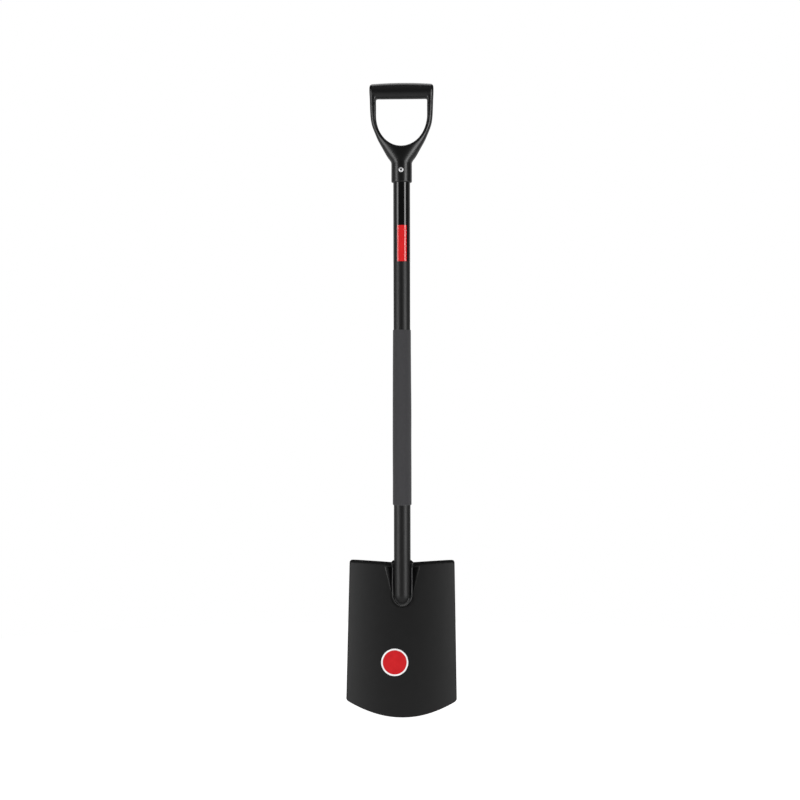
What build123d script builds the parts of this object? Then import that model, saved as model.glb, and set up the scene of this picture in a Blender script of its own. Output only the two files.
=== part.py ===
from build123d import *

import os
from math import atan2, cos, degrees, pi, radians, sin, sqrt, tan

os.makedirs("parts", exist_ok=True)

# A digging spade, in millimetres. +Z runs up the shaft, the blade's front faces -Y, and the origin is
# on the shaft's axis at the underside of the grip bar.

# Shaft tube
shaft_diameter = 32.0
shaft_wall = 1.5
shaft_reach = 731.5  # from the socket's mouth down to the blade's top edge
shaft_overlap = 80.0  # from the blade's top edge down to the tip of the nose
shaft_insertion = 58.0  # held in the socket
nose_length = 19.0  # swaged, closed lower end
nose_tip_radius = 13.0

# Handle
grip_width = 123.0
bar_height = 31.0
bar_crown = 2.4  # how far the bar's top falls from its middle to its ends
bar_squareness = 2.3
bar_end_round = 6.0
bar_inset = 0.1  # of the bar's ends behind the arms' outer faces, and of the arms' fronts behind the bar's
opening_width = 98.8
opening_height = 90.8
opening_bowl = 60.8  # height of the curved lower part of the opening
arm_depth = 26.0
arm_edge_round = 3.6
socket_diameter = 39.4
socket_length = 35.0
socket_mouth_chamfer = 1.0
yoke_height = 34.2  # from the socket's shoulder to the opening
shaft_clearance = 0.15  # between the tube and the socket's bore
shaft_end_gap = 0.5  # between the tube's top end and the bore's floor

# Blind rivet through the socket and the tube's front wall
rivet_drop = 12.3  # below the socket's shoulder
rivet_diameter = 4.8
rivet_hole_clearance = 0.05
rivet_head_diameter = 9.5
rivet_head_height = 1.5
rivet_bulb_diameter = 7.2
rivet_bulb_length = 5.0
mandrel_diameter = 2.6
mandrel_clearance = 0.05
mandrel_head_diameter = 4.4
mandrel_head_length = 2.4
mandrel_recess = 0.7  # below the crown of the rivet's head
rivet_seat = 0.02  # between the rivet's head and the socket

# Foam sleeve
foam_drop = 283.0  # below the socket's mouth
foam_length = 336.0
foam_top_diameter = 34.4
foam_diameter = 36.0
foam_swell_length = 170.0  # the upper stretch over which the sleeve grows to its full diameter
foam_top_round = 0.7
foam_bottom_round = 1.6
foam_clearance = 0.05  # between the sleeve and the tube

# Label film
film_gap = 0.4  # below the socket's mouth
film_length = 152.0
film_thickness = 0.15
film_seat = 0.02  # layer of glue under the film

# Blade
blade_length = 293.0
blade_top_width = 201.5
blade_bottom_width = 210.5
blade_sheet = 2.0
blade_lift_degrees = 6.0  # forward lean of the blade from the shaft's line
sheet_setback = 4.0  # of the sheet's front face behind the shaft's axis, at the top edge
dish_depth = 15.0  # of the hollow across the blade's top width
edge_sagitta = 33.0  # of the curved cutting edge
edge_corner_round = 4.0
bevel_length = 7.0
bevel_depth = 1.3
tread_depth = 12.0
tread_slope_degrees = 4.5  # each tread rises outwards
tread_bend = 6.0  # inner radius of the bend from the sheet to the tread
tread_corner_round = 5.0
seat_gap = 0.1  # between the tube and the pocket pressed in the sheet
hollow_width = 62.0  # of the wedge pressed back on both sides of the shaft, under the treads
hollow_depth = 8.0
hollow_floor_width = 40.0  # between the flanks
hollow_length = 43.5
hollow_end_width = 43.0  # at the wedge's lower end, where the pocket takes over
hollow_end_depth = 1.0

# Weld beads
bead_leg = 4.6
bead_height = 4.6
bead_taper_degrees = 42.0
top_bead_leg = 6.0
top_bead_overhang = 0.8  # past the pocket's back
top_bead_wrap_degrees = 10.0  # how far each end comes round in front of the shaft's sides
top_bead_melt = 0.3  # depth to which the bead melts into the treads
top_bead_back_degrees = 12.0  # lean of the bead's back

# Round sticker
sticker_diameter = 52.0
sticker_thickness = 0.15
sticker_seat = 0.02  # layer of glue under the sticker
sticker_offset = -14.0  # sideways from the middle of the blade
sticker_drop = 188.8  # below the blade's top edge, along the sheet

# Levels on the shaft's axis
shaft_radius = shaft_diameter / 2
socket_radius = socket_diameter / 2
opening_floor_z = -opening_height
shoulder_z = opening_floor_z - yoke_height
mouth_z = shoulder_z - socket_length
shaft_top_z = mouth_z + shaft_insertion
rivet_z = shoulder_z - rivet_drop
film_top_z = mouth_z - film_gap
foam_top_z = mouth_z - foam_drop
blade_top_z = mouth_z - shaft_reach
nose_tip_z = blade_top_z - shaft_overlap
nose_start_z = nose_tip_z + nose_length
room = 60.0  # spare length of the tools that cut the blade

# The nose is a ball that runs into a wider side arc, which ends along the tube's wall
nose_body = nose_length - nose_tip_radius
nose_taper = shaft_radius - nose_tip_radius
nose_side_radius = (shaft_radius**2 + nose_body**2 - nose_tip_radius**2) / (2 * nose_taper)
nose_tip_centre = (0, nose_tip_z + nose_tip_radius)
nose_side_centre = (shaft_radius - nose_side_radius, nose_start_z)
nose_turn = degrees(atan2(nose_body, nose_side_radius - shaft_radius))

# The blade's own directions
lift = radians(blade_lift_degrees)
tread_slope = radians(tread_slope_degrees)
blade_up = Vector(0, sin(lift), cos(lift))
blade_front = Vector(0, -cos(lift), sin(lift))
blade_origin = Vector(0, sheet_setback, blade_top_z)
across_blade = Plane(origin=blade_origin, x_dir=(1, 0, 0), z_dir=blade_up)
blade_face = Plane(origin=blade_origin, x_dir=(1, 0, 0), z_dir=blade_front)
half_top_width = blade_top_width / 2
dish_radius = (half_top_width**2 + dish_depth**2) / (2 * dish_depth)
bend_outside = tread_bend + blade_sheet


def superellipse(half_width, half_height, squareness, middle=0.0, count=48):
    """Closed curve between an ellipse and a rounded box."""
    points = []
    for i in range(count):
        c, s = cos(2 * pi * i / count), sin(2 * pi * i / count)
        reach = (abs(c) ** squareness + abs(s) ** squareness) ** (-1 / squareness)
        points.append((half_width * reach * c, middle + half_height * reach * s))
    with BuildLine() as curve:
        Spline(*points, periodic=True)
    make_face(curve.edges())


def shaft_profile(growth, top_z):
    """Half section of the shaft's outside, grown all round, from its nose up to a level."""
    radius = shaft_radius + growth
    with BuildLine() as profile:
        CenterArc(nose_tip_centre, nose_tip_radius + growth, -90, arc_size=90 - nose_turn)
        CenterArc(nose_side_centre, nose_side_radius + growth, -nose_turn, arc_size=nose_turn)
        Polyline(
            (radius, nose_start_z),
            (radius, top_z),
            (0, top_z),
            (0, nose_tip_z - growth),
        )
    make_face(profile.edges())


def dish_band(front, back):
    """Cross-section of the dished sheet between two depths behind the blade's front face."""
    with Locations((0, -dish_radius)):
        Circle(dish_radius + back)
        Circle(dish_radius + front, mode=Mode.SUBTRACT)
    Rectangle(4 * half_top_width, 4 * half_top_width, mode=Mode.INTERSECT)


def under_treads(drop):
    """Everything below the two sloping treads, seen from the front."""
    reach = 2 * half_top_width
    rise = reach * tan(tread_slope)
    low = blade_top_z - blade_length - room
    with BuildLine() as region:
        Polyline(
            (0, blade_top_z - drop),
            (reach, blade_top_z - drop + rise),
            (reach, low),
            (-reach, low),
            (-reach, blade_top_z - drop + rise),
            close=True,
        )
    make_face(region.edges())


def blade_outline():
    """The blade's sides and its curved cutting edge, in the plane of the sheet."""
    half_bottom = blade_bottom_width / 2
    corner = edge_sagitta - blade_length
    spread = (half_bottom - half_top_width) / corner
    half_above = half_top_width + spread * room
    with BuildLine() as outline:
        Polyline(
            (half_bottom, corner),
            (half_above, room),
            (-half_above, room),
            (-half_bottom, corner),
        )
        ThreePointArc((-half_bottom, corner), (0, -blade_length), (half_bottom, corner))
    make_face(outline.edges())


def hollow_section(half_width, depth, growth):
    """Cross-section of the wedge pressed back beside the shaft: two sloping flanks and a flat floor."""
    lean = (half_width - hollow_floor_width / 2) / depth
    half_front = half_width + growth * sqrt(1 + lean**2)
    floor = depth + growth
    with BuildLine() as section:
        Polyline(
            (half_front - lean * floor, floor),
            (half_front + lean * dish_depth, -dish_depth),
            (-half_front - lean * dish_depth, -dish_depth),
            (lean * floor - half_front, floor),
            close=True,
        )
    make_face(section.edges())


# Shaft tube: straight, open at the top, closed by its nose
with BuildPart() as shaft_tube:
    with BuildSketch(Plane.XZ):
        shaft_profile(0, shaft_top_z)
    revolve(axis=Axis.Z)
    with BuildSketch(Plane.XZ):
        shaft_profile(-shaft_wall, shaft_top_z)
    revolve(axis=Axis.Z, mode=Mode.SUBTRACT)
    with BuildSketch(Plane.XZ):
        with Locations((0, rivet_z)):
            Circle(rivet_diameter / 2 + rivet_hole_clearance)
    extrude(amount=shaft_radius, mode=Mode.SUBTRACT)
shaft_tube.part.label = "shaft_tube"
export_step(shaft_tube.part, "parts/shaft_tube.step")

# Space behind the sheet and under the treads
with BuildPart() as tread_space:
    with BuildSketch(across_blade.offset(-blade_length - room)):
        dish_band(blade_sheet, tread_depth + room)
    extrude(amount=blade_length + 2 * room)
    with BuildSketch(Plane.XZ):
        under_treads(blade_sheet / cos(tread_slope))
    extrude(amount=blade_length, both=True, mode=Mode.INTERSECT)

# Hollow: the wedge pressed back from the sheet's front on both sides of the shaft
hollow_top = across_blade.offset(-bend_outside)
hollow_end = across_blade.offset(-bend_outside - hollow_length)
with BuildPart() as hollow:
    with BuildSketch(hollow_top):
        hollow_section(hollow_width / 2, hollow_depth, 0)
    with BuildSketch(hollow_end):
        hollow_section(hollow_end_width / 2, hollow_end_depth, 0)
    loft(ruled=True)

# Everything behind the sheet's front face, and the same less the hollow
with BuildPart() as behind_front:
    with BuildSketch(across_blade.offset(-blade_length - room)):
        dish_band(0, room)
    extrude(amount=blade_length + 2 * room)
with BuildPart() as behind_hollow:
    add(behind_front.part)
    add(hollow.part, mode=Mode.SUBTRACT)

# Pocket: the sheet pressed out round the back of the tube and of the hollow
with BuildPart() as pocket:
    with BuildSketch(Plane.XZ):
        shaft_profile(seat_gap + blade_sheet, blade_top_z)
    revolve(axis=Axis.Z)
    with BuildSketch(across_blade.offset(-blade_sheet / 2)):
        hollow_section(hollow_width / 2, hollow_depth, blade_sheet)
    with BuildSketch(hollow_end):
        hollow_section(hollow_end_width / 2, hollow_end_depth, blade_sheet)
    loft(ruled=True)
    add(behind_front.part, mode=Mode.INTERSECT)

# Top bead: in the corner between the shaft and the treads, round the shaft's back
wrap = radians(top_bead_wrap_degrees)
pocket_back = shaft_radius + seat_gap + blade_sheet
top_bead_start = Plane(origin=(0, 0, 0), x_dir=(cos(wrap), -sin(wrap), 0), z_dir=(-sin(wrap), -cos(wrap), 0))
with BuildPart() as top_bead:
    with BuildSketch(top_bead_start):
        with BuildLine():
            Polyline(
                (shaft_radius + seat_gap, blade_top_z - bend_outside),
                (shaft_radius + bead_leg, blade_top_z - bend_outside),
                (shaft_radius + top_bead_leg, blade_top_z),
                (shaft_radius + seat_gap, blade_top_z + top_bead_leg),
                close=True,
            )
        make_face()
    revolve(axis=Axis.Z, revolution_arc=180 + 2 * top_bead_wrap_degrees)
    foot = bend_outside * tan(radians(top_bead_back_degrees))
    with BuildSketch(Plane.XY.offset(blade_top_z - bend_outside)):
        Ellipse(shaft_radius + top_bead_leg + foot, pocket_back + top_bead_overhang + foot)
    extrude(amount=bend_outside + top_bead_leg, taper=top_bead_back_degrees, mode=Mode.INTERSECT)

# Seat that the top bead melts into the treads
with BuildPart() as melt:
    add(top_bead.part)
    with BuildSketch(Plane.XZ):
        under_treads(top_bead_melt)
    extrude(amount=blade_length, both=True, mode=Mode.SUBTRACT)

# Blade: the dished sheet with its treads, made as one half and mirrored, then the pocket and the hollow
with BuildPart() as blade:
    with BuildSketch(across_blade.offset(-blade_length - room)):
        dish_band(0, tread_depth)
    extrude(amount=blade_length + 2 * room)
    with BuildSketch(Plane.XZ):
        under_treads(0)
    extrude(amount=blade_length, both=True, mode=Mode.INTERSECT)
    add(tread_space.part, mode=Mode.SUBTRACT)
    with BuildSketch(blade_face):
        blade_outline()
    extrude(amount=room, both=True, mode=Mode.INTERSECT)
    split(bisect_by=Plane.YZ)
    tread_under = blade.faces().filter_by(lambda face: face.normal_at().Z < -0.9).sort_by(Axis.Z)[-1]
    fillet(tread_under.edges().sort_by(SortBy.LENGTH)[-2:].sort_by(Axis.Y)[0], tread_bend)
    tread_top = blade.faces().filter_by(lambda face: face.normal_at().Z > 0.9).sort_by(Axis.Z)[-1]
    fillet(tread_top.edges().sort_by(SortBy.LENGTH)[-2:].sort_by(Axis.Y)[0], bend_outside)
    fillet(blade.edges().filter_by(GeomType.ELLIPSE).sort_by(SortBy.LENGTH)[0], tread_corner_round)
    cut_face = blade.faces().sort_by(Axis.Z)[0]
    cut_edge = cut_face.edges().sort_by(SortBy.LENGTH)[-2:].sort_by(Axis.Y)[-1]
    chamfer(cut_edge, bevel_depth, bevel_length, reference=cut_face)
    side_edges = blade.edges().filter_by(lambda edge: edge.center().X > half_top_width / 2)
    fillet(side_edges.filter_by(GeomType.LINE).sort_by(Axis.Z)[0], edge_corner_round)
    mirror(about=Plane.YZ)
    add(pocket.part)
    add(hollow.part, mode=Mode.SUBTRACT)
    with BuildSketch(Plane.XZ):
        shaft_profile(seat_gap, blade_top_z + room)
    revolve(axis=Axis.Z, mode=Mode.SUBTRACT)
    add(melt.part, mode=Mode.SUBTRACT)
blade.part.label = "blade"
export_step(blade.part, "parts/blade.step")

# Bar of the grip: flat below, crowned along its top
with BuildPart() as grip_bar:
    for station in (-1.0, -0.75, -0.5, -0.25, 0.0, 0.25, 0.5, 0.75, 1.0):
        with BuildSketch(Plane.YZ.offset(station * (grip_width / 2 - bar_inset))):
            height = bar_height - bar_crown * station**2
            superellipse(arm_depth / 2 + bar_inset, height / 2, bar_squareness, middle=height / 2)
    loft()
    fillet(grip_bar.faces().filter_by(Axis.X).edges(), bar_end_round)

# Handle: yoke and arms in one loft, the opening between the arms, the bar across them, then the socket
yoke_stations = [
    # rise from the shoulder to the bar's middle, spread from the socket's width to the grip's,
    # thinning from the socket's depth to the arms', squareness
    (0.00, 0.000, 0.00, 2.0),
    (0.08, 0.136, 0.00, 2.1),
    (0.16, 0.301, 0.03, 2.25),
    (0.24, 0.450, 0.23, 2.5),
    (0.33, 0.615, 0.53, 3.0),
    (0.42, 0.744, 0.77, 3.7),
    (0.52, 0.873, 0.92, 4.6),
    (0.62, 0.940, 0.98, 5.4),
    (0.72, 0.964, 1.00, 6.0),
    (0.82, 0.976, 1.00, 6.4),
    (0.91, 0.988, 1.00, 6.5),
    (1.00, 1.000, 1.00, 6.5),
]
with BuildPart() as handle:
    for rise, spread, thinning, squareness in yoke_stations:
        with BuildSketch(Plane.XY.offset(shoulder_z + rise * (bar_height / 2 - shoulder_z))):
            superellipse(
                socket_radius + spread * (grip_width / 2 - socket_radius),
                socket_radius + thinning * (arm_depth / 2 - socket_radius),
                squareness,
            )
    loft()
    extrude(handle.faces().sort_by(Axis.Z)[0], amount=socket_length)
    with BuildSketch(Plane.XZ):
        with Locations((0, opening_bowl - opening_height)):
            Ellipse(opening_width / 2, opening_bowl)
            Rectangle(opening_width, opening_height, align=(Align.CENTER, Align.MIN))
    extrude(amount=socket_diameter, both=True, mode=Mode.SUBTRACT)
    rims = handle.edges(Select.LAST).filter_by(lambda edge: abs(edge.tangent_at(0.5).Y) < 0.9)
    fillet(rims, arm_edge_round)
    add(grip_bar.part)
    with BuildSketch(Plane.XY.offset(mouth_z)):
        Circle(shaft_radius + shaft_clearance)
    extrude(amount=shaft_insertion + shaft_end_gap, mode=Mode.SUBTRACT)
    chamfer(handle.faces().sort_by(Axis.Z)[0].edges(), socket_mouth_chamfer)
    with BuildSketch(Plane.XZ):
        with Locations((0, rivet_z)):
            Circle(rivet_diameter / 2 + rivet_hole_clearance)
    extrude(amount=socket_diameter, mode=Mode.SUBTRACT)
handle.part.label = "handle"
export_step(handle.part, "parts/handle.step")

# Blind rivet: a domed head seated on the socket, a shank through both walls and a bulb inside the tube
head_radius = rivet_head_diameter / 2
head_crown = socket_radius + rivet_head_height
bulb_radius = rivet_bulb_diameter / 2
bulb_seat = sqrt((shaft_radius - shaft_wall) ** 2 - bulb_radius**2)
bulb_end = bulb_seat - rivet_bulb_length
rivet_axis = Axis((0, 0, rivet_z), (0, 1, 0))
with BuildPart() as rivet_body:
    with BuildSketch(Plane.XY.offset(rivet_z)):
        with BuildLine():
            Polyline(
                (0, -head_crown),
                (0, -bulb_seat),
                (head_radius, -bulb_seat),
                (head_radius, -socket_radius),
            )
            TangentArc((head_radius, -socket_radius), (0, -head_crown), tangent=(-1, -1))
        make_face()
    revolve(axis=rivet_axis)
    with BuildSketch(Plane.XY.offset(rivet_z - head_radius)):
        Circle(socket_radius + rivet_seat)
    extrude(amount=rivet_head_diameter, mode=Mode.SUBTRACT)
    with BuildSketch(Plane.XZ.offset(bulb_seat)):
        with Locations((0, rivet_z)):
            Circle(rivet_diameter / 2)
    extrude(amount=socket_radius - bulb_seat + rivet_seat)
    with BuildSketch(Plane.XZ.offset(bulb_end)):
        with Locations((0, rivet_z)):
            Circle(bulb_radius)
    extrude(amount=rivet_bulb_length)
    with BuildSketch(Plane.XZ.offset(bulb_end)):
        with Locations((0, rivet_z)):
            Circle(mandrel_diameter / 2 + mandrel_clearance)
    extrude(amount=socket_diameter, mode=Mode.SUBTRACT)
rivet_body.part.label = "rivet_body"
export_step(rivet_body.part, "parts/rivet_body.step")

# Mandrel stub: broken off inside the rivet's head, its own head drawn against the bulb
with BuildPart() as rivet_mandrel:
    with BuildSketch(Plane.XZ.offset(bulb_end)):
        with Locations((0, rivet_z)):
            Circle(mandrel_diameter / 2)
    extrude(amount=head_crown - mandrel_recess - bulb_end)
    with BuildSketch(Plane.XZ.offset(bulb_end)):
        with Locations((0, rivet_z)):
            Circle(mandrel_head_diameter / 2)
    extrude(amount=-mandrel_head_length)
rivet_mandrel.part.label = "rivet_mandrel"
export_step(rivet_mandrel.part, "parts/rivet_mandrel.step")

# Foam sleeve: slim at its top, with soft ends
foam_bottom_z = foam_top_z - foam_length
with BuildPart() as foam_grip:
    with BuildSketch(Plane.XZ) as sleeve:
        with BuildLine():
            Polyline(
                (foam_diameter / 2, foam_top_z - foam_swell_length),
                (foam_diameter / 2, foam_bottom_z),
                (shaft_radius + foam_clearance, foam_bottom_z),
                (shaft_radius + foam_clearance, foam_top_z),
                (foam_top_diameter / 2, foam_top_z),
            )
            Spline(
                (foam_top_diameter / 2, foam_top_z),
                (foam_diameter / 2, foam_top_z - foam_swell_length),
                tangents=((foam_diameter - foam_top_diameter, -foam_swell_length), (0, -1)),
            )
        make_face()
        fillet(sleeve.vertices().group_by(Axis.Y)[-1].sort_by(Axis.X)[-1], foam_top_round)
        fillet(sleeve.vertices().group_by(Axis.Y)[0].sort_by(Axis.X)[-1], foam_bottom_round)
    revolve(axis=Axis.Z)
foam_grip.part.label = "foam_grip"
export_step(foam_grip.part, "parts/foam_grip.step")

# Label film: wrapped round the shaft just under the socket
with BuildPart() as label_film:
    with BuildSketch(Plane.XY.offset(film_top_z)):
        Circle(shaft_radius + film_seat + film_thickness)
        Circle(shaft_radius + film_seat, mode=Mode.SUBTRACT)
    extrude(amount=-film_length)
label_film.part.label = "label_film"
export_step(label_film.part, "parts/label_film.step")

# Round sticker: follows the hollow of the blade's front
with BuildPart() as blade_sticker:
    with BuildSketch(across_blade.offset(-sticker_drop - sticker_diameter)):
        dish_band(-sticker_seat - sticker_thickness, -sticker_seat)
    extrude(amount=2 * sticker_diameter)
    with BuildSketch(blade_face):
        with Locations((sticker_offset, -sticker_drop)):
            Circle(sticker_diameter / 2)
    extrude(amount=room, both=True, mode=Mode.INTERSECT)
blade_sticker.part.label = "blade_sticker"
export_step(blade_sticker.part, "parts/blade_sticker.step")

# Top weld: the bead less the sheet
with BuildPart() as weld_top:
    add(top_bead.part)
    add(tread_space.part, mode=Mode.SUBTRACT)
    add(blade.part, mode=Mode.SUBTRACT)
weld_top.part.label = "weld_top"
export_step(weld_top.part, "parts/weld_top.step")

# Front weld: down one side of the shaft, round the nose and up the other side, filling the hollow's corners
bead_plane = Plane(origin=blade_origin - blade_up * blade_top_z, x_dir=(1, 0, 0), z_dir=blade_front)
with BuildPart() as weld_front:
    with BuildSketch(bead_plane) as bead:
        shaft_profile(bead_leg, blade_top_z - bend_outside)
        mirror(about=Plane.YZ)
    extrude(amount=bead_height, taper=bead_taper_degrees)
    extrude(bead.sketch, amount=-2 * hollow_depth)
    add(behind_hollow.part, mode=Mode.SUBTRACT)
    with BuildSketch(Plane.XZ):
        shaft_profile(seat_gap, blade_top_z + room)
    revolve(axis=Axis.Z, mode=Mode.SUBTRACT)
    add(weld_top.part, mode=Mode.SUBTRACT)
weld_front.part.label = "weld_front"
export_step(weld_front.part, "parts/weld_front.step")
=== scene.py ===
import math

import bmesh
import bpy
import numpy as np
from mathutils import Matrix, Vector


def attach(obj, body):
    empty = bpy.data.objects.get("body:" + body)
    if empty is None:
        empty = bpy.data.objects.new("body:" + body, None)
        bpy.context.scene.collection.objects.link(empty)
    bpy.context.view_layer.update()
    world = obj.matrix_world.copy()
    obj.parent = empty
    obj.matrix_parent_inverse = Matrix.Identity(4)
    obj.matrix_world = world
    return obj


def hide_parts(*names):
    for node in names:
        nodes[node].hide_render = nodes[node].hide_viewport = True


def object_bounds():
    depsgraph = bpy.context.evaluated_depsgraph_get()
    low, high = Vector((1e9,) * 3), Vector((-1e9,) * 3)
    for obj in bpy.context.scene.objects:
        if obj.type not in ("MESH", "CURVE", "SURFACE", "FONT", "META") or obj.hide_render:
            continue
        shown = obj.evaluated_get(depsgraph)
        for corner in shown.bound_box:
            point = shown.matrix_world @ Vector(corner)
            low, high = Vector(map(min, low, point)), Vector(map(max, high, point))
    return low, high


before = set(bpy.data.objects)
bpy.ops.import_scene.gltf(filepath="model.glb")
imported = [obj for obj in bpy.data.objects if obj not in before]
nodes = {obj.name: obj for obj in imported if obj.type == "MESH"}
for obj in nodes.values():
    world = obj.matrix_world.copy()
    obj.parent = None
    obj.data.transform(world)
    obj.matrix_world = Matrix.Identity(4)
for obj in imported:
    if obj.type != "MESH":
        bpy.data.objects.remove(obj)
cad_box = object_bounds()
scene = bpy.context.scene
MM = 0.001

# The shaft's outline, in millimetres
SHAFT = 16.0
NOSE_TIP, NOSE_BALL, NOSE_BODY = -971.5, 13.0, 6.0
NOSE_START = NOSE_TIP + NOSE_BALL + NOSE_BODY
NOSE_SIDE = (SHAFT**2 + NOSE_BODY**2 - NOSE_BALL**2) / (2 * (SHAFT - NOSE_BALL))
NOSE_TURN = math.atan2(NOSE_BODY, NOSE_SIDE - SHAFT)

# The blade's directions and sizes, in millimetres
LIFT_DEGREES = 6
LIFT = math.radians(LIFT_DEGREES)
COS_LIFT, SIN_LIFT = math.cos(LIFT), math.sin(LIFT)
TOP = -891.5
SETBACK = 4.0
RISE = math.tan(math.radians(4.5))
HALF_TOP, HALF_BOTTOM, LENGTH, SAGITTA = 100.75, 105.25, 293.0, 33.0
SHEET, BEND_IN, TREAD = 2.0, 6.0, 12.0
BEND = BEND_IN + SHEET
BEND_TURN = math.radians(90 - LIFT_DEGREES)
DISH_DEPTH = 15.0
DISH = (HALF_TOP**2 + DISH_DEPTH**2) / (2 * DISH_DEPTH)
EDGE = (HALF_BOTTOM**2 + SAGITTA**2) / (2 * SAGITTA)
TREAD_CORNER, LOWER_CORNER = 16.0, 4.0
EDGE_ROUND, EDGE_THIN = 1.2, 0.9
GRIND_START, GRIND_DEPTH = 286, 1.3
POCKET_FRONT, POCKET_BACK = 0.1, 2.1
POCKET_HALF = 15.55
WEDGE_HALF, WEDGE_NARROWS, WEDGE_FLOOR = 31, 9.5, 20
WEDGE_DEPTH, WEDGE_SHALLOWS = 8, 7
WEDGE_LENGTH, WEDGE_END = 43.5, (56, 51)
NOWHERE = -40.0
STICKER_ACROSS, STICKER_DOWN = -14.0, 188.8
TIP_DOWN = TOP - NOSE_TIP

# The foam sleeve, in millimetres
FOAM_TOP, FOAM_BOTTOM = -443.0, -779.0
FOAM_BORE, FOAM_THIN, FOAM_THICK = 16.06, 17.2, 18
FOAM_TOP_ROUND, FOAM_LOW_ROUND = 0.7, 1.6
FOAM_WAVES = 14

# Finishes, with colours as linear RGB and lengths in metres
SHINE = 0.35
COAT_DARK, COAT_LIGHT = (0.0015, 0.0015, 0.0016), (0.0022, 0.0022, 0.0023)
FOAM_CELL = 0.0011
PANEL_MIDDLE = math.radians(4.7)
PANEL_SIDE = math.radians(34.5), math.radians(33.5)
PANEL_LOW, PANEL_HIGH = (-0.3121, -0.3118), (-0.2427, -0.2430)
RIM_EDGE = 0.0228, 0.0231
# Radii where the painted shade round the rivet's mandrel hole begins and is full
HOLE_SHADE_EDGE = 0.0021, 0.0017

# The picture, in metres
PIXEL, PICTURE_WIDTH, SENSOR = 0.00192, 800, 36.0
DISTANCE = 3.8
AZIMUTH = math.radians(3.0)
ROLL = math.radians(-0.10)
AXIS_SHIFT = 0.00385
MIDDLE_Z = -0.5775
FLOOR_GAP, FLOOR_RADIUS = 0.0005, 1.6

# The studio's grey levels, by degrees round the object and over it
WALL_STOPS = [
    (-180, 0.15), (-165, 0.2), (-150, 0.8), (-130, 0.8), (-115, 0.42), (-85, 0.5), (-70, 0.28), (-20, 0.07),
    (20, 0.07), (60, 0.14), (85, 0.14), (112, 0.12), (128, 0.8), (150, 0.8), (165, 0.2), (180, 0.15),
]
ROOF_STOPS = [(0, 0.11), (25, 0.04), (150, 0.04), (180, 0.15)]
OVERHEAD, BELOW = (0.1, 0.25), (-0.05, -0.45)


# Material helpers
def material(name):
    """A new node material: itself, its tree and its main shader."""
    mat = bpy.data.materials.new(name)
    mat.use_nodes = True
    return mat, mat.node_tree, mat.node_tree.nodes["Principled BSDF"]


def add(tree, kind, inputs=None, **settings):
    """A node with its settings, and its inputs set or joined."""
    node = tree.nodes.new("ShaderNode" + kind)
    for key, value in settings.items():
        setattr(node, key, value)
    for key, value in (inputs or {}).items():
        join(tree, value, node.inputs[key])
    return node


def join(tree, value, socket):
    """A socket takes another node's output, or a plain value."""
    if isinstance(value, bpy.types.NodeSocket):
        tree.links.new(value, socket)
    else:
        socket.default_value = value


def place(tree):
    """A point's place in the row frame, in metres."""
    return add(tree, "TexCoord").outputs["Object"]


def noise(tree, size, detail=2.0, roughness=0.5):
    """Cloudy noise whose lumps are about size metres across."""
    inputs = {"Vector": place(tree), "Scale": 1 / size, "Detail": detail, "Roughness": roughness}
    return add(tree, "TexNoise", inputs).outputs["Fac"]


def math_node(tree, operation, *values):
    """One step of arithmetic on numbers or sockets."""
    return add(tree, "Math", dict(enumerate(values)), operation=operation).outputs["Value"]


def between(tree, fac, low, high):
    """Maps 0..1 to low..high."""
    return add(tree, "MapRange", {"Value": fac, "To Min": low, "To Max": high}).outputs["Result"]


def step(tree, value, low, high):
    """Runs from 0 at low to 1 at high."""
    return add(tree, "MapRange", {"Value": value, "From Min": low, "From Max": high}).outputs["Result"]


def shades(tree, fac, dark, light):
    """Runs between two colours, given as linear RGB."""
    ramp = add(tree, "ValToRGB", {"Fac": fac})
    ramp.color_ramp.elements[0].position = 0.3
    ramp.color_ramp.elements[1].position = 0.7
    ramp.color_ramp.elements[0].color = (*dark, 1)
    ramp.color_ramp.elements[1].color = (*light, 1)
    return ramp.outputs["Color"]


def mixed(tree, fac, first, second):
    """One colour turning into another."""
    node = add(tree, "Mix", {"Factor": fac}, data_type="RGBA")
    join(tree, first, node.inputs[6])
    join(tree, second, node.inputs[7])
    return node.outputs[2]


def bump(tree, height, distance, under=None):
    """Bumps of a height in metres, over another set if given."""
    inputs = {"Height": height, "Distance": distance, "Strength": 1.0}
    if under is not None:
        inputs["Normal"] = under
    return add(tree, "Bump", inputs).outputs["Normal"]


def finish_shader(tree, shader, **inputs):
    """Sets or joins the main shader's inputs, named with _ for each space."""
    for key, value in inputs.items():
        join(tree, value, shader.inputs[key.replace("_", " ")])


def bearing(tree, spot):
    """The angle round the upright axis, 0 at the front and positive to the right."""
    return math_node(tree, "ARCTAN2", spot["X"], math_node(tree, "MULTIPLY", spot["Y"], -1.0))


# Materials
def coat_material(name, dark, light, roughness, peel, grain=0.0009, shine=SHINE, metal=0.0):
    """A coat, moulding or bare metal with faint mottling, uneven gloss and a fine skin."""
    mat, tree, shader = material(name)
    finish_shader(
        tree, shader,
        Base_Color=shades(tree, noise(tree, 0.02, 4), dark, light),
        Roughness=between(tree, noise(tree, 0.006, 3), *roughness),
        Metallic=metal,
        Specular_IOR_Level=shine,
        Normal=bump(tree, noise(tree, grain, 2), peel),
    )
    return mat


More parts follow.
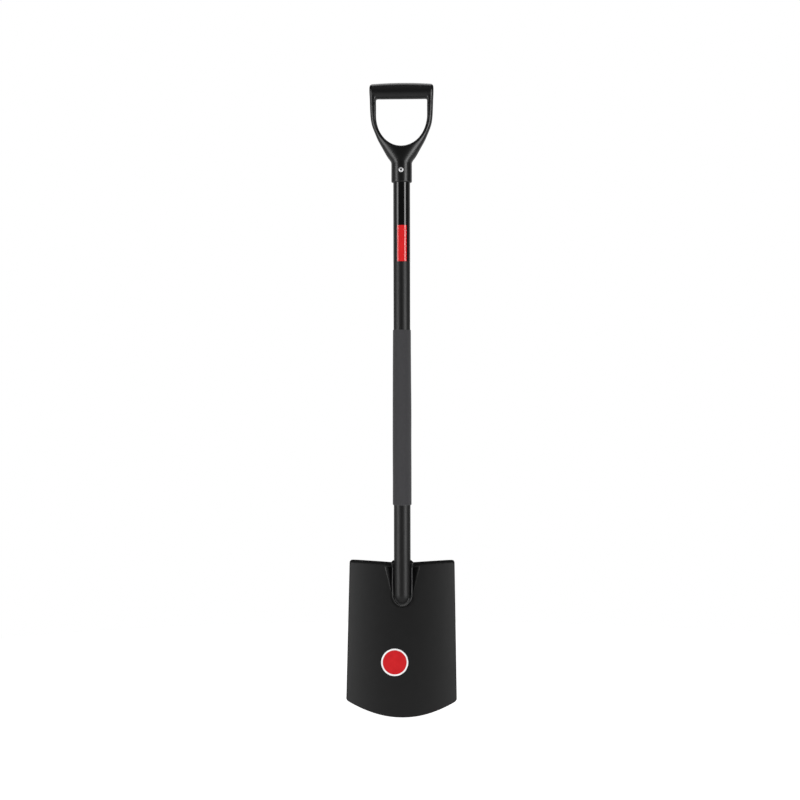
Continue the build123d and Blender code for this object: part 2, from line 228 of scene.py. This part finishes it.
def foam_material():
    """Matt closed-cell foam, with its cells and larger soft lumps."""
    mat, tree, shader = material("grey_foam")
    cells = add(tree, "TexVoronoi", {"Vector": place(tree), "Scale": 1 / FOAM_CELL, "Randomness": 1.0})
    lumps = bump(tree, noise(tree, 0.004, 3), 0.0002)
    finish_shader(
        tree, shader,
        Base_Color=shades(tree, noise(tree, 0.0016, 4, 0.65), (0.036, 0.0355, 0.038), (0.050, 0.049, 0.052)),
        Roughness=between(tree, noise(tree, 0.003, 3), 0.86, 0.96),
        Sheen_Weight=0.24,
        Sheen_Roughness=0.5,
        Specular_IOR_Level=0.21,
        Normal=bump(tree, cells.outputs["Distance"], 0.00012, lumps),
    )
    return mat


def film_material():
    """Glossy black film with a plain red panel at the front."""
    mat, tree, shader = material("printed_film")
    spot = add(tree, "SeparateXYZ", {"Vector": place(tree)}).outputs
    off_middle = math_node(tree, "ABSOLUTE", math_node(tree, "SUBTRACT", bearing(tree, spot), PANEL_MIDDLE))
    in_height = math_node(
        tree, "MULTIPLY", step(tree, spot["Z"], *PANEL_LOW), step(tree, spot["Z"], *PANEL_HIGH))
    panel = math_node(tree, "MULTIPLY", step(tree, off_middle, *PANEL_SIDE), in_height)
    finish_shader(
        tree, shader,
        Base_Color=mixed(
            tree, panel,
            shades(tree, noise(tree, 0.01, 3), (0.0028, 0.0028, 0.0030), (0.0036, 0.0036, 0.0038)),
            shades(tree, noise(tree, 0.012, 3), (0.60, 0.016, 0.018), (0.66, 0.020, 0.022)),
        ),
        Roughness=between(tree, noise(tree, 0.009, 3), 0.05, 0.08),
        Specular_IOR_Level=SHINE,
        Normal=bump(tree, noise(tree, 0.012, 2), 0.00002),
    )
    return mat


def vinyl_material():
    """Red vinyl with a white rim."""
    mat, tree, shader = material("red_vinyl")
    centre = Vector((STICKER_ACROSS, SETBACK - STICKER_DOWN * SIN_LIFT, TOP - STICKER_DOWN * COS_LIFT)) * MM
    far = add(tree, "VectorMath", {0: place(tree), 1: centre}, operation="DISTANCE").outputs["Value"]
    finish_shader(
        tree, shader,
        Base_Color=mixed(
            tree, step(tree, far, *RIM_EDGE),
            shades(tree, noise(tree, 0.012, 3), (0.55, 0.013, 0.017), (0.62, 0.018, 0.022)),
            shades(tree, noise(tree, 0.012, 3), (0.88, 0.88, 0.88), (0.93, 0.93, 0.93)),
        ),
        Roughness=between(tree, noise(tree, 0.008, 3), 0.3, 0.38),
        Specular_IOR_Level=0.2,
        Normal=bump(tree, noise(tree, 0.010, 2), 0.00002),
    )
    return mat


def rivet_material():
    """Bare aluminium, with painted shade darkening a ring round the mandrel's hole."""
    mat = coat_material(
        "aluminium", (0.55, 0.55, 0.56), (0.60, 0.60, 0.61), roughness=(0.42, 0.50), peel=0.00001, metal=0.35)
    tree = mat.node_tree
    colour = tree.nodes["Principled BSDF"].inputs["Base Color"]
    axis_z = sum(corner[2] for corner in nodes["rivet_mandrel"].bound_box) / 8
    spot = add(tree, "VectorMath", {0: place(tree), 1: (1, 0, 1)}, operation="MULTIPLY").outputs["Vector"]
    off_axis = add(tree, "VectorMath", {0: spot, 1: (0, 0, axis_z)}, operation="DISTANCE").outputs["Value"]
    # Painted shade: a dark ring round the mandrel's hole stands in for the shadow in its recess
    hole_shade = step(tree, off_axis, *HOLE_SHADE_EDGE)
    join(tree, mixed(tree, hole_shade, colour.links[0].from_socket, (0.02, 0.02, 0.02, 1)), colour)
    return mat


powder_coat = coat_material("powder_coat", COAT_DARK, COAT_LIGHT, roughness=(0.43, 0.48), peel=0.000012)
sheet_coat = coat_material(
    "sheet_coat", COAT_DARK, COAT_LIGHT, roughness=(0.40, 0.45), peel=0.000015, shine=0.435)
weld_coat = coat_material("weld_coat", COAT_DARK, COAT_LIGHT, roughness=(0.26, 0.36), peel=0.00003)
plastic = coat_material(
    "plastic", (0.0038, 0.0038, 0.0040), (0.0048, 0.0048, 0.0050),
    roughness=(0.30, 0.34), peel=0.000004, grain=0.0007)
steel = coat_material(
    "steel", (0.015, 0.015, 0.016), (0.025, 0.025, 0.026), roughness=(0.5, 0.65), peel=0.00004, metal=1.0)
foam = foam_material()

# The CAD nodes that stay get their finishes
worn = {
    "shaft_tube": powder_coat, "rivet_body": rivet_material(), "rivet_mandrel": steel,
    "label_film": film_material(), "blade_sticker": vinyl_material(),
}
for name, mat in worn.items():
    nodes[name].data.materials.clear()
    nodes[name].data.materials.append(mat)


# Mesh helpers
def new_piece(name, points, faces, mat, slot, *replaced):
    """A smooth mesh piece, given in millimetres, that rides on the body and stands for CAD nodes."""
    mesh = bpy.data.meshes.new(name)
    mesh.from_pydata((np.asarray(points, dtype=float) * MM).tolist(), [], faces)
    mesh.validate()
    bm = bmesh.new()
    bm.from_mesh(mesh)
    bmesh.ops.recalc_face_normals(bm, faces=bm.faces)
    bm.to_mesh(mesh)
    bm.free()
    mesh.shade_smooth()
    piece = bpy.data.objects.new(name, mesh)
    scene.collection.objects.link(piece)
    mesh.materials.append(mat)
    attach(piece, "root")
    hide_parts(*replaced)
    return piece


def grid_faces(rows, columns, start=0, ring=False):
    """Quads of a grid of points, closed across its rows if it is a ring."""
    faces = []
    for i in range(rows - 1):
        for j in range(columns if ring else columns - 1):
            k = (j + 1) % columns
            faces.append((start + i * columns + j, start + i * columns + k,
                          start + (i + 1) * columns + k, start + (i + 1) * columns + j))
    return faces


def closing_faces(rows, columns, ring=False):
    """Quads that join a grid's last row to its first."""
    last = (rows - 1) * columns
    return [(last + j, last + (j + 1) % columns, (j + 1) % columns, j)
            for j in range(columns if ring else columns - 1)]


def end_faces(rows, columns):
    """The two faces that close a bead at its ends."""
    return [tuple(i * columns + j for i in range(rows)) for j in (0, columns - 1)]


def smooth_step(value, low, high):
    """Eases from 0 at low to 1 at high."""
    t = np.clip((value - low) / (high - low), 0, 1)
    return t * t * (3 - 2 * t)


def soft_max(a, b, width):
    """The larger of two heights, rounded where they cross."""
    gap = np.clip((b - a) / width, -60, 60)
    return a + width * np.log1p(np.exp(gap))


def rounded(part):
    """How much a rounded edge takes off, from 0 at its start to 1 at its end."""
    return 1 - np.sqrt(1 - part**2)


def wander(values, seed, size, height):
    """Smooth seeded unevenness along a line."""
    rng = np.random.default_rng(seed)
    total = np.zeros_like(values, dtype=float)
    for octave in range(3):
        for _ in range(2):
            pace, phase = rng.uniform(0.8, 1.25), rng.uniform(0, 6.28)
            total += np.sin(values / size * 2 ** octave * pace + phase) / 2 ** octave
    return height * total / 2.5


# The blade's surfaces, in millimetres
def shaft_reach(z, growth):
    """The shaft's radius at a height, grown all round."""
    below_start = np.minimum(z - NOSE_START, 0)
    side = SHAFT - NOSE_SIDE + np.sqrt(np.clip((NOSE_SIDE + growth) ** 2 - below_start**2, 0, None))
    ball = np.sqrt(np.clip((NOSE_BALL + growth) ** 2 - (z - NOSE_TIP - NOSE_BALL) ** 2, 0, None))
    switch = NOSE_START - (NOSE_SIDE + growth) * math.sin(NOSE_TURN)
    return np.where(z > switch, side, ball)


def on_blade(u, v, w):
    """A point of the blade: across, down the sheet and behind its front face."""
    return np.stack([u, SETBACK - v * SIN_LIFT + w * COS_LIFT, TOP - v * COS_LIFT - w * SIN_LIFT], axis=-1)


def dish(u):
    """How far back the dished front lies, 0 at the middle and less towards the sides."""
    return -(DISH - np.sqrt(DISH**2 - u**2))


def pocket(u, v, growth):
    """How far behind the sheet's front the shaft's grown outside lies."""
    w = np.zeros_like(u + v)
    for _ in range(12):
        z = TOP - v * COS_LIFT - w * SIN_LIFT
        reach = shaft_reach(z, growth) ** 2 - u**2
        w = (np.sqrt(np.clip(reach, 0, None)) - SETBACK + v * SIN_LIFT) / COS_LIFT
    return np.where(reach > 0, w, NOWHERE)


def hollow(u, v, growth):
    """How far back the wedge beside the shaft is pressed."""
    t = np.clip((v - BEND) / WEDGE_LENGTH, 0, 1)
    half, depth = WEDGE_HALF - WEDGE_NARROWS * t, WEDGE_DEPTH - WEDGE_SHALLOWS * t
    lean = (half - WEDGE_FLOOR) / depth
    flank = (half + growth * np.sqrt(1 + lean**2) - np.abs(u)) / lean
    fade = smooth_step(v, *WEDGE_END)
    return np.minimum(flank, depth + growth) * fade - 30 * (1 - fade)


def build_blade():
    """The sheet: treads bent back, a pocket and wedges at the shaft, and a ground lower edge."""
    inner = [0, 2.5, 5, 7.5, 10, 12, 13.5, 14.6, 15.3, 15.5]
    beside = np.arange(15.6, 33, 0.45).tolist()
    outer = [
        33.5, 34.5, 36, 38, 40, 42, 44.5, 47.5, 51, 55, 60, 65, 70, 75, 79, 82, 84.5, 86.5, 88.5, 90.5, 92.5,
        94.3, 95.9, 97.2, 98.2, 98.9, 99.4, 99.75, 100.05, 100.3, 100.5, 100.65, 100.75,
    ]
    right = np.array(inner + beside + outer)
    across = np.concatenate([-right[:0:-1], right])
    away = np.abs(across)
    middle = away < POCKET_HALF
    inside = HALF_TOP - away
    shrink = EDGE_THIN * rounded(np.clip(1 - inside / EDGE_ROUND, 0, 1))
    round_off = np.clip(LOWER_CORNER - inside, 0, LOWER_CORNER)
    edge_corner = LOWER_CORNER - np.sqrt(LOWER_CORNER**2 - round_off**2)

    # Where each column bends back, and how far its tread reaches
    w0 = dish(across)
    y0, z0 = SETBACK + w0 * COS_LIFT, TOP - w0 * SIN_LIFT
    tread_z = TOP + away * RISE
    corner_y = y0 + (tread_z - z0) * SIN_LIFT / COS_LIFT
    tangent = BEND * math.tan(BEND_TURN / 2)
    centre_y, centre_z = corner_y + tangent, tread_z - BEND
    start_v = -(tread_z - z0) / COS_LIFT + tangent
    bend_length = BEND * BEND_TURN
    full = bend_length + (TREAD / COS_LIFT - tangent)
    shortest = 0.3
    cut = np.clip(TREAD_CORNER - inside, 0, TREAD_CORNER)
    corner_cut = TREAD_CORNER - np.sqrt(TREAD_CORNER**2 - cut**2)
    reach = full - corner_cut * (full - shortest) / TREAD_CORNER

    # Rows of the treads, from the back edge forwards
    front, back = [], []
    tread_rows = [
        1, 0.997, 0.99, 0.975, 0.95, 0.92, 0.88, 0.84, 0.8, 0.76, 0.72, 0.67, 0.61, 0.55, 0.48, 0.41, 0.34,
        0.27, 0.2, 0.13, 0.06,
    ]
    for t in tread_rows:
        along = t * reach
        angle = math.pi - LIFT - np.minimum(along, bend_length) / BEND
        flat = np.maximum(along - bend_length, 0)
        lip = np.clip(1 - (reach - along) / EDGE_ROUND, 0, 1)
        thin = np.maximum(shrink, EDGE_THIN * rounded(lip))
        for rows, radius in ((front, BEND - thin), (back, BEND_IN + thin)):
            y, z = centre_y + radius * np.cos(angle) + flat, centre_z + radius * np.sin(angle)
            rows.append(np.stack([across, y, z], axis=-1))

    # Beside the shaft the rows stay behind the pressed wedge, a little apart from each other
    top_v = np.full_like(across, 3.0)
    wedge_top = hollow(across, np.full_like(across, BEND), SHEET)
    skin_top = np.maximum(wedge_top, pocket(across, top_v, POCKET_BACK))
    skin_y = on_blade(across, top_v, skin_top)[:, 1]
    count = len(tread_rows)
    row_gap, skin_half = 0.015, 42
    for i, row in enumerate(back):
        behind = np.maximum(row[:, 1], skin_y + row_gap * (count - i))
        row[:, 1] = np.where(away < skin_half, behind, row[:, 1])
    for i in range(count):
        v = np.full_like(across, 0.4 + i / count * 6.8)
        row_front = on_blade(across, v, pocket(across, v, POCKET_FRONT))
        row_back = on_blade(across, v, np.maximum(pocket(across, v, POCKET_BACK), skin_top))
        front[i] = np.where(middle[:, None], row_front, front[i])
        back[i] = np.where(middle[:, None], row_back, back[i])

    # Rows of the sheet, from the bend down to the ground edge
    sheet_rows = [
        7.3, 7.7, 8.1, 8.6, 9.2, 10, 11, 12.2, 13.5, 15, 16.5, 18, 19.5, 21, 22.5, 24, 25.5, 27, 28.5, 30,
        31.5, 33, 34.5, 36, 37.5, 39, 40.5, 42, 43.5, 45, 46.5, 48, 49.5, 51, 52.5, 54.5, 57, 60, 63, 66, 69,
        71.5, 73.5, 75.5, 77, 78.5, 80, 81.5, 83, 84.5, 86.5, 89, 93, 98, 104, 112, 122, 134, 148, 164, 182,
        200, 218, 236, 252, 266, 277, 282, 285, 286, 287, 288.5, 290, 291.4, 292.4, 292.8, 293,
    ]
    wedge_half, wedge_last = 45, 57
    sag = EDGE - np.sqrt(EDGE**2 - (across * HALF_BOTTOM / HALF_TOP) ** 2)
    for v0 in np.array(sheet_rows):
        v = v0 + (start_v - tangent) * (1 - smooth_step(v0, 7, 110))
        v = v - (sag + edge_corner) * smooth_step(v0, 90, LENGTH)
        widen = (HALF_BOTTOM - HALF_TOP) * v / (LENGTH - SAGITTA)
        u = across + np.sign(across) * widen * (away / HALF_TOP) ** 4
        drop = smooth_step(v0, 7.3, 9.4)
        pressed = np.where(away < wedge_half, hollow(u, v, 0) * drop - 6 * (1 - drop), NOWHERE)
        pressed = np.where(middle, pocket(u, v, POCKET_FRONT), pressed)
        w_front = np.where(middle | (v0 < wedge_last), np.maximum(dish(u), pressed), dish(u))
        skin = np.maximum(hollow(u, v, SHEET), pocket(u, v, POCKET_BACK))
        w_back = soft_max(dish(u) + SHEET, skin, 0.6)
        grind = GRIND_DEPTH * np.clip((v0 - GRIND_START) / (LENGTH - GRIND_START), 0, 1)
        last_thin = np.interp(v0, [292.4, LENGTH], [0.0, 0.2])
        thin = np.maximum(shrink * (1 - 0.7 * grind / GRIND_DEPTH), last_thin)
        front.append(on_blade(u, v, w_front + thin))
        back.append(on_blade(u, v, w_back - grind - thin * (1 - grind / 2)))

    # Both skins, and the strips that close them all round
    front, back = np.array(front), np.array(back)
    rows, columns = front.shape[:2]
    size = rows * columns
    faces = grid_faces(rows, columns) + grid_faces(rows, columns, size)
    for i in range(rows - 1):
        for j in (0, columns - 1):
            a, b = i * columns + j, (i + 1) * columns + j
            faces.append((a, b, size + b, size + a))
    for j in range(columns - 1):
        for i in (0, rows - 1):
            a, b = i * columns + j, i * columns + j + 1
            faces.append((a, b, size + b, size + a))
    points = np.concatenate([front.reshape(-1, 3), back.reshape(-1, 3)])
    new_piece("blade_sheet", points, faces, sheet_coat, "black_powder_coat", "blade")


def build_front_bead():
    """The rippled bead down both sides of the shaft and round its nose."""
    start = TIP_DOWN - NOSE_BALL - NOSE_BODY
    path = [(SHAFT, v) for v in np.linspace(6.2, start - 0.3, 140)]
    for a in np.linspace(0, NOSE_TURN, 44)[1:]:
        path.append((SHAFT - NOSE_SIDE + NOSE_SIDE * math.cos(a), start + NOSE_SIDE * math.sin(a)))
    for a in np.linspace(NOSE_TURN, math.pi / 2, 24)[1:]:
        path.append((NOSE_BALL * math.cos(a), TIP_DOWN - NOSE_BALL + NOSE_BALL * math.sin(a)))
    path = np.array(path)
    path = np.concatenate([path, (path * [-1, 1])[-2::-1]])
    along = np.concatenate([[0], np.cumsum(np.linalg.norm(np.diff(path, axis=0), axis=1))])
    slope = np.gradient(path, along, axis=0)
    slope /= np.linalg.norm(slope, axis=1)[:, None]
    outward = np.stack([slope[:, 1], -slope[:, 0]], axis=-1)

    # Cross-sections beside the shaft and at its nose: out from the shaft, and up from the sheet
    side = [
        (-4.0, 2.6), (-2.6, 2.8), (-1.2, 2.9), (-0.4, 3.0), (0.2, 3.15), (0.8, 3.6), (1.4, 4.0), (2.0, 3.95),
        (2.5, 3.75), (3.0, 3.45), (3.5, 3.1), (3.9, 2.6), (4.25, 1.8), (4.55, 0.5), (4.7, -1.0), (4.8, -2.0),
    ]
    nose = [
        (-6.0, 5.2), (-4.6, 5.7), (-3.4, 5.8), (-2.4, 5.6), (-1.6, 5.2), (-0.9, 4.9), (-0.2, 5.0), (0.5, 5.3),
        (1.2, 5.4), (1.9, 5.2), (2.6, 4.8), (3.2, 4.3), (3.8, 3.5), (4.3, 2.0), (4.7, -0.2), (4.8, -2.0),
    ]
    ripple_pitch, root_sink = 2.3, 0.4
    uneven = wander(along, 3, 9.0, 1.0)
    at_nose = smooth_step(path[:, 1], start - 4, start + 9)
    rows = []
    for k, ((side_out, side_height), (nose_out, nose_height)) in enumerate(zip(side, nose)):
        out = side_out + (nose_out - side_out) * at_nose
        height = side_height + (nose_height - side_height) * at_nose
        phase = along / ripple_pitch + 0.5 * ((out - 1.5) / 3) ** 2
        ripple = np.abs(np.sin(math.pi * phase)) - 0.6
        body = np.clip(1 - np.abs(out - 1.8 + 2 * at_nose) / (4.2 + at_nose), 0, 1)
        sway = out + 0.25 * uneven * (out > 2) + 0.12 * ripple * (out > 3)
        u = path[:, 0] + outward[:, 0] * sway
        v = path[:, 1] + outward[:, 1] * sway
        lift = height + body * ((0.30 + 0.50 * at_nose) * ripple + 0.25 * uneven)
        w = np.maximum(dish(u), -1.0) - lift
        if k >= len(side) - 2:
            w = np.maximum(w, hollow(u, v, 0) + (root_sink if k == len(side) - 1 else 0.0))
        rows.append(on_blade(u, v, w))
    rows = np.array(rows)
    count, columns = rows.shape[:2]
    faces = grid_faces(count, columns) + end_faces(count, columns) + closing_faces(count, columns)
    new_piece("bead_front", rows.reshape(-1, 3), faces, weld_coat, "coated_weld", "weld_front")


def build_top_bead():
    """The rippled bead round the back of the shaft on the treads."""
    end_degrees, bore, half_width, depth = 11, 16.1, 22.0, 18.9
    end = end_degrees * np.cos(np.radians(np.linspace(1, 90, 14)))
    angle = np.radians(np.concatenate([-end[:-1], np.linspace(0, 180, 201), 180 + end[-2::-1]]))
    past = np.maximum(np.abs(np.degrees(angle) - 90) - 90, 0) / end_degrees
    whole = np.sqrt(1 - past**2)
    out_x, out_y = np.cos(angle), np.sin(angle)
    reach = 1 / np.sqrt((out_x / half_width) ** 2 + (np.maximum(out_y, 0) / depth) ** 2)
    along = np.degrees(angle) / 57.3 * 19
    ripple_pitch = 2.4
    uneven = wander(along, 11, 8.0, 1.0)

    # Cross-section: out from the shaft as a share of the bead's reach, and up from the tread
    section = [
        (-0.12, 5.4), (0.0, 5.9), (0.1, 5.7), (0.25, 4.8), (0.42, 3.8), (0.6, 2.7), (0.78, 1.6), (0.92, 0.7),
        (1.0, -0.3), (0.98, -1.8), (0.78, -7.6), (-0.12, -7.6),
    ]
    rows = []
    for out, height in section:
        phase = along / ripple_pitch + 0.4 * (out - 0.5) ** 2
        ripple = (np.abs(np.sin(math.pi * phase)) - 0.6) * whole
        body = max(0.0, 1 - abs(out - 0.5) / 0.5) if height > 0 else 0.0
        swell = body * (0.22 * ripple + 0.2 * uneven)
        radius = bore + (0.3 + (out - 0.3) * whole) * (reach - bore) + swell
        x, y = radius * out_x, radius * out_y
        level = TOP + height * whole + swell + np.abs(x) * RISE * (0 < height < 5.5)
        rows.append(np.stack([x, y, level], axis=-1))
    rows = np.array(rows)
    count, columns = rows.shape[:2]
    faces = grid_faces(count, columns) + closing_faces(count, columns) + end_faces(count, columns)
    new_piece("bead_top", rows.reshape(-1, 3), faces, weld_coat, "coated_weld", "weld_top")


def build_foam():
    """The soft sleeve, a little uneven along and round its length."""
    around = np.linspace(0, 2 * math.pi, 96, endpoint=False)
    top, low = FOAM_TOP_ROUND, FOAM_LOW_ROUND
    outline = [
        (FOAM_THIN - top + top * math.sin(a), FOAM_TOP - top + top * math.cos(a))
        for a in np.linspace(0, math.pi / 2, 6)]
    for s in np.linspace(top, FOAM_TOP - FOAM_BOTTOM - low, 170)[1:-1]:
        outline.append((FOAM_THIN + 0.8 * float(smooth_step(s, -20, 170)), FOAM_TOP - s))
    outline += [
        (FOAM_THICK - low + low * math.cos(a), FOAM_BOTTOM + low - low * math.sin(a))
        for a in np.linspace(0, math.pi / 2, 9)]
    outline += [(FOAM_BORE, z) for z in (FOAM_BOTTOM, FOAM_BOTTOM + 20, FOAM_TOP - 20, FOAM_TOP)]
    rng = np.random.default_rng(7)
    waves = [(rng.uniform(9, 40), rng.integers(0, 4), rng.uniform(0, 6.28)) for _ in range(FOAM_WAVES)]
    rows = []
    for radius, z in outline:
        soft = sum(np.sin(z / length + lobes * around + phase) for length, lobes, phase in waves) / FOAM_WAVES
        from_end = np.array(min(FOAM_TOP - z, z - FOAM_BOTTOM))
        keep = 0.22 * smooth_step(np.array(radius), 16.4, 17.1) * smooth_step(from_end, 0, 6)
        r = radius + keep * soft
        rows.append(np.stack([r * np.cos(around), r * np.sin(around), np.full_like(around, z)], axis=-1))
    rows = np.array(rows)
    count, columns = rows.shape[:2]
    faces = grid_faces(count, columns, ring=True) + closing_faces(count, columns, ring=True)
    piece = new_piece("foam_sleeve", rows.reshape(-1, 3), faces, foam, "grey_foam", "foam_grip")


def build_grip():
    """The moulded grip, its bar and arms flowing into each other."""
    mesh = nodes["handle"].data.copy()
    mesh.name = "moulded_grip"
    piece = bpy.data.objects.new("moulded_grip", mesh)
    scene.collection.objects.link(piece)
    remesh = piece.modifiers.new("even", "REMESH")
    remesh.mode = "VOXEL"
    remesh.voxel_size = 0.8 * MM
    even = bpy.data.meshes.new_from_object(piece.evaluated_get(bpy.context.evaluated_depsgraph_get()))
    piece.modifiers.clear()
    piece.data = even
    points = np.empty(len(even.vertices) * 3)
    even.vertices.foreach_get("co", points)
    points = points.reshape(-1, 3)
    edges = np.empty(len(even.edges) * 2, dtype=int)
    even.edges.foreach_get("vertices", edges)
    a, b = edges.reshape(-1, 2).T
    count = len(points)
    degree = np.bincount(np.concatenate([a, b]), minlength=count)[:, None]

    # All but the socket's mouth is evened without shrinking, and the joints of bar and arms are rounded
    across, level = np.abs(points[:, 0]) / MM, points[:, 2] / MM
    joint = smooth_step(across, 37, 45) * smooth_step(level, -12, -5) * smooth_step(level, 15, 8)
    mouth = smooth_step(level, -157.5, -155.5)
    for weight in [0.5 * mouth, -0.52 * mouth] * 30 + [0.5 * joint] * 34:
        total = np.stack([
            np.bincount(a, points[b, k], count) + np.bincount(b, points[a, k], count) for k in range(3)
        ], axis=-1)
        points = points + (total / degree - points) * weight[:, None]
    even.vertices.foreach_set("co", points.ravel())
    even.shade_smooth()
    even.materials.clear()
    even.materials.append(plastic)
    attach(piece, "root")
    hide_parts("handle")


# Floor, studio and camera
def build_floor():
    """A pale disc just under the blade."""
    bm = bmesh.new()
    bmesh.ops.create_circle(bm, cap_ends=True, segments=96, radius=FLOOR_RADIUS)
    for vert in bm.verts:
        vert.co.z = cad_box[0][2] - FLOOR_GAP
    mesh = bpy.data.meshes.new("floor")
    bm.to_mesh(mesh)
    bm.free()
    floor = bpy.data.objects.new("floor", mesh)
    scene.collection.objects.link(floor)
    mat, tree, shader = material("pale_floor")
    straight = add(tree, "LightPath").outputs["Is Camera Ray"]
    finish_shader(
        tree, shader, Base_Color=(0.6, 0.6, 0.6, 1), Roughness=0.9,
        Emission_Color=(1, 1, 1, 1), Emission_Strength=between(tree, straight, 0.57, 1.0))
    mesh.materials.append(mat)


def grey_ramp(tree, angle, stops):
    """Grey levels at given degrees, for an angle in radians."""
    low, high = stops[0][0], stops[-1][0]
    ramp = add(tree, "ValToRGB", {"Fac": step(tree, angle, math.radians(low), math.radians(high))})
    for index, (degrees, value) in enumerate(stops):
        position = (degrees - low) / (high - low)
        if index in (0, len(stops) - 1):
            stop = ramp.color_ramp.elements[-1 if index else 0]
        else:
            stop = ramp.color_ramp.elements.new(position)
        stop.position = position
        stop.color = (value, value, value, 1)
    return ramp.outputs["Color"]


def build_world():
    """A white backdrop for the camera, and soft grey walls and a roof for the light."""
    world = bpy.data.worlds.new("studio")
    scene.world = world
    world.use_nodes = True
    tree = world.node_tree
    tree.nodes.clear()
    seen = add(tree, "Background", {"Color": (1, 1, 1, 1), "Strength": 1.0})
    way = add(tree, "SeparateXYZ", {"Vector": add(tree, "TexCoord").outputs["Generated"]}).outputs
    walls = grey_ramp(tree, bearing(tree, way), WALL_STOPS)
    tilt = math_node(tree, "ARCTAN2", way["Z"], math_node(tree, "MULTIPLY", way["Y"], -1.0))
    roof = grey_ramp(tree, tilt, ROOF_STOPS)
    around = mixed(tree, step(tree, way["Z"], *OVERHEAD), walls, roof)
    colour = mixed(tree, step(tree, way["Z"], *BELOW), around, (0.7, 0.7, 0.7, 1))
    fill = add(tree, "Background", {"Color": colour, "Strength": 1.0})
    mix = add(tree, "MixShader", {"Fac": add(tree, "LightPath").outputs["Is Camera Ray"]})
    tree.links.new(fill.outputs[0], mix.inputs[1])
    tree.links.new(seen.outputs[0], mix.inputs[2])
    tree.links.new(mix.outputs[0], add(tree, "OutputWorld").inputs["Surface"])


def softbox(name, degrees, distance, height, aim, width, tall, radiance):
    """An even rectangular light, placed by its bearing from the front."""
    light = bpy.data.lights.new(name, "AREA")
    light.shape = "RECTANGLE"
    light.size, light.size_y = width, tall
    light.energy = radiance * math.pi * width * tall
    box = bpy.data.objects.new(name, light)
    angle = math.radians(degrees)
    box.location = (distance * math.sin(angle), -distance * math.cos(angle), height)
    box.rotation_euler = (Vector((0, 0, aim)) - box.location).to_track_quat("-Z", "Y").to_euler()
    box.visible_camera = False
    scene.collection.objects.link(box)


def build_camera():
    """The photo's view: straight ahead but for a few degrees."""
    data = bpy.data.cameras.new("camera")
    data.sensor_width = SENSOR
    data.lens = SENSOR * DISTANCE / (PIXEL * PICTURE_WIDTH)
    data.clip_end = 100.0
    camera = bpy.data.objects.new("camera", data)
    scene.collection.objects.link(camera)
    away = Vector((math.sin(AZIMUTH), -math.cos(AZIMUTH), 0))
    right = Vector((math.cos(AZIMUTH), math.sin(AZIMUTH), 0))
    camera.location = away * DISTANCE - right * AXIS_SHIFT + Vector((0, 0, MIDDLE_Z))
    camera.rotation_euler = (math.pi / 2, 0, AZIMUTH)
    camera.rotation_euler.rotate_axis("Z", ROLL)
    scene.camera = camera


build_blade()
build_front_bead()
build_top_bead()
build_foam()
build_grip()
build_floor()
build_world()
softbox("softbox_left", -56.0, distance=3.2, height=-0.45, aim=-0.45, width=1.40, tall=2.2, radiance=6.4)
softbox("softbox_right", 50.0, distance=3.2, height=-0.45, aim=-0.45, width=1.20, tall=2.2, radiance=9.4)
softbox("softbox_top", 180.0, distance=0.045, height=0.155, aim=0.0, width=0.24, tall=0.15, radiance=2.86)
softbox("softbox_front", 0.0, distance=0.30, height=0.30, aim=0.01, width=0.5, tall=0.35, radiance=0.23)
scene.view_settings.view_transform = "Standard"
build_camera()
